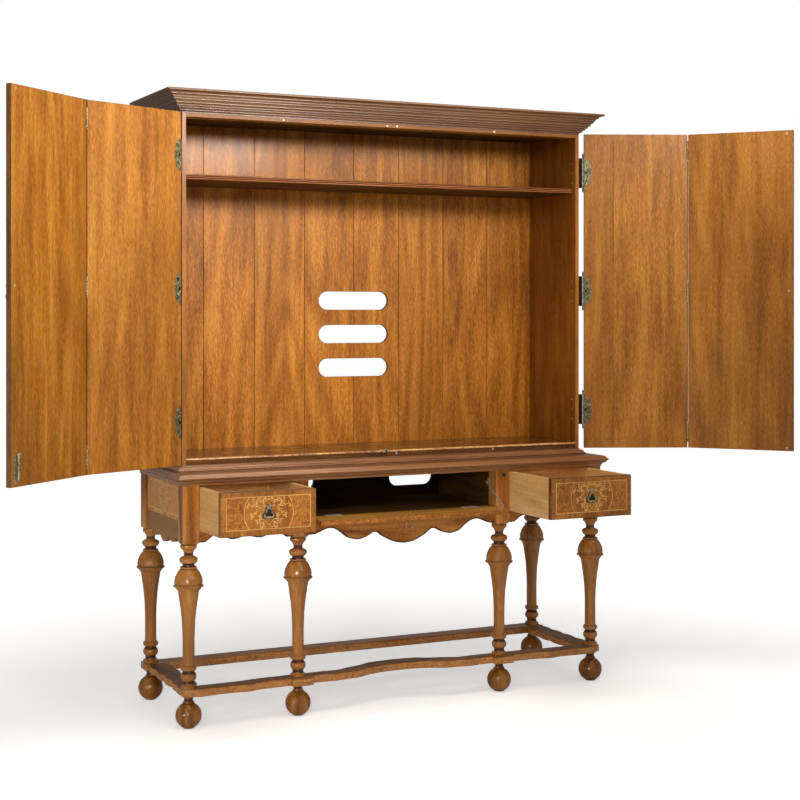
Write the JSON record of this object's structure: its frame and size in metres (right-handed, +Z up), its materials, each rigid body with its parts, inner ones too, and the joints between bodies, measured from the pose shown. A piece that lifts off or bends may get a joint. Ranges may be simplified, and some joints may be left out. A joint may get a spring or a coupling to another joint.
{
  "type": "tv armoire",
  "caption": "Walnut armoire for a television: bifold doors, shelf and slotted back over a turned-leg stand with drawers and a drop front.",
  "frame": {"origin": "on the floor under the middle of the armoire as pictured, with its doors, drawers and drop front open", "axes": "+X to the right as seen from the front, +Y to the back, +Z up"},
  "size_m": [2.9714, 0.9154, 2.19],
  "materials": {
    "walnut": "satin lacquered walnut",
    "moulding": "satin lacquered cross-grained walnut",
    "burr": "satin burr veneer with stringing and marquetry",
    "panel": "satin stained interior veneer",
    "oak": "matt pale drawer lining",
    "dark": "matt dark stained board",
    "brass": "antiqued cast brass"
  },
  "bodies": {
    "carcase": {"leg_front_left": "walnut", "leg_front_mid_left": "walnut", "leg_front_mid_right": "walnut", "leg_front_right": "walnut", "leg_back_left": "walnut", "leg_back_right": "walnut", "foot_front_left": "walnut", "foot_front_mid_left": "walnut", "foot_front_mid_right": "walnut", "foot_front_right": "walnut", "foot_back_left": "walnut", "foot_back_right": "walnut", "stretcher_front": "walnut", "stretcher_back": "walnut", "stretcher_left": "walnut", "stretcher_right": "walnut", "apron_centre": "walnut", "apron_left": "walnut", "apron_right": "walnut", "side_panel_left": "walnut", "side_panel_right": "walnut", "divider_left": "panel", "divider_right": "panel", "drawer_floor": "panel", "stand_back": "dark", "stand_top": "moulding", "case_side_left": "walnut", "case_side_right": "walnut", "case_floor": "panel", "cornice": "moulding", "back_panel": "panel", "shelf": "panel", "left_case_hinge_top": "brass", "left_case_hinge_middle": "brass", "left_case_hinge_bottom": "brass", "right_case_hinge_top": "brass", "right_case_hinge_middle": "brass", "right_case_hinge_bottom": "brass"},
    "left_inner_leaf": {"left_door_inner": "walnut"},
    "left_outer_leaf": {"left_door_outer": "walnut", "left_fold_hinge_top": "brass", "left_fold_hinge_middle": "brass", "left_fold_hinge_bottom": "brass"},
    "left_pull": {"left_door_pull": "brass"},
    "bolt": {"door_bolt": "brass"},
    "right_inner_leaf": {"right_door_inner": "walnut"},
    "right_outer_leaf": {"right_door_outer": "walnut", "right_fold_hinge_top": "brass", "right_fold_hinge_middle": "brass", "right_fold_hinge_bottom": "brass"},
    "right_pull": {"right_door_pull": "brass"},
    "left_drawer": {"drawer_box_left": "oak", "drawer_front_left": "burr"},
    "left_drawer_bail": {"drawer_pull_left": "brass"},
    "right_drawer": {"drawer_box_right": "oak", "drawer_front_right": "burr"},
    "right_drawer_bail": {"drawer_pull_right": "brass"},
    "drop_front": {"flap": "burr"},
    "stay": {"flap_stay": "brass"},
    "drop_front_bail": {"flap_pull": "brass"}
  },
  "joints": [
    {"name": "left_door_swing", "type": "hinge", "parent": "carcase", "child": "left_inner_leaf", "pos_m": [-0.8005, 0.0285, 1.5025], "axis": [0, 0, -1], "range_deg": [-156.1, 23.9]},
    {"name": "left_door_fold", "type": "hinge", "parent": "left_inner_leaf", "child": "left_outer_leaf", "pos_m": [-1.17195, -0.1465, 1.5025], "axis": [0, 0, 1], "range_deg": [-18.07, 2.8]},
    {"name": "left_pull_lift", "type": "hinge", "parent": "left_outer_leaf", "child": "left_pull", "pos_m": [-1.47864, -0.38796, 1.495], "axis": [0.7436, 0.6686, 0], "range_deg": [0, 85]},
    {"name": "bolt_slide", "type": "slide", "parent": "left_outer_leaf", "child": "bolt", "axis": [0, 0, -1], "range_m": [0, 0.018]},
    {"name": "right_door_swing", "type": "hinge", "parent": "carcase", "child": "right_inner_leaf", "pos_m": [0.8365, 0.0285, 1.5025], "axis": [0, 0, 1], "range_deg": [-156.1, 23.9]},
    {"name": "right_door_fold", "type": "hinge", "parent": "right_inner_leaf", "child": "right_outer_leaf", "pos_m": [1.20795, -0.1465, 1.5025], "axis": [0, 0, -1], "range_deg": [-26.01, 4]},
    {"name": "right_pull_lift", "type": "hinge", "parent": "right_outer_leaf", "child": "right_pull", "pos_m": [1.47834, -0.42801, 1.495], "axis": [0.6441, -0.7649, 0], "range_deg": [0, 85]},
    {"name": "left_drawer_slide", "type": "slide", "parent": "carcase", "child": "left_drawer", "axis": [0, -1, 0], "range_m": [-0.211, 0.129]},
    {"name": "left_drawer_pull_lift", "type": "hinge", "parent": "left_drawer", "child": "left_drawer_bail", "pos_m": [-0.59, -0.2808, 0.7685], "axis": [-1, 0, 0], "range_deg": [0, 85]},
    {"name": "right_drawer_slide", "type": "slide", "parent": "carcase", "child": "right_drawer", "axis": [0, -1, 0], "range_m": [-0.298, 0.042]},
    {"name": "right_drawer_pull_lift", "type": "hinge", "parent": "right_drawer", "child": "right_drawer_bail", "pos_m": [0.626, -0.3678, 0.7685], "axis": [-1, 0, 0], "range_deg": [0, 85]},
    {"name": "drop_front_hinge", "type": "hinge", "parent": "carcase", "child": "drop_front", "pos_m": [0.018, -0.049, 0.698], "axis": [1, 0, 0], "range_deg": [-90, 0]},
    {"name": "stay_pivot", "type": "hinge", "parent": "drop_front", "child": "stay", "pos_m": [0.39, -0.126, 0.707], "axis": [1, 0, 0], "range_deg": [0, 62.7]},
    {"name": "drop_front_pull_swing", "type": "hinge", "parent": "drop_front", "child": "drop_front_bail", "pos_m": [0.018, -0.113, 0.6772], "axis": [-1, 0, 0], "range_deg": [-85, 85]}
  ],
  "couplings": [
    {"joint": "left_door_fold", "follows": "left_door_swing", "ratio": 0.1157},
    {"joint": "right_door_fold", "follows": "right_door_swing", "ratio": 0.16656},
    {"joint": "stay_pivot", "follows": "drop_front_hinge", "ratio": -0.6956}
  ]
}
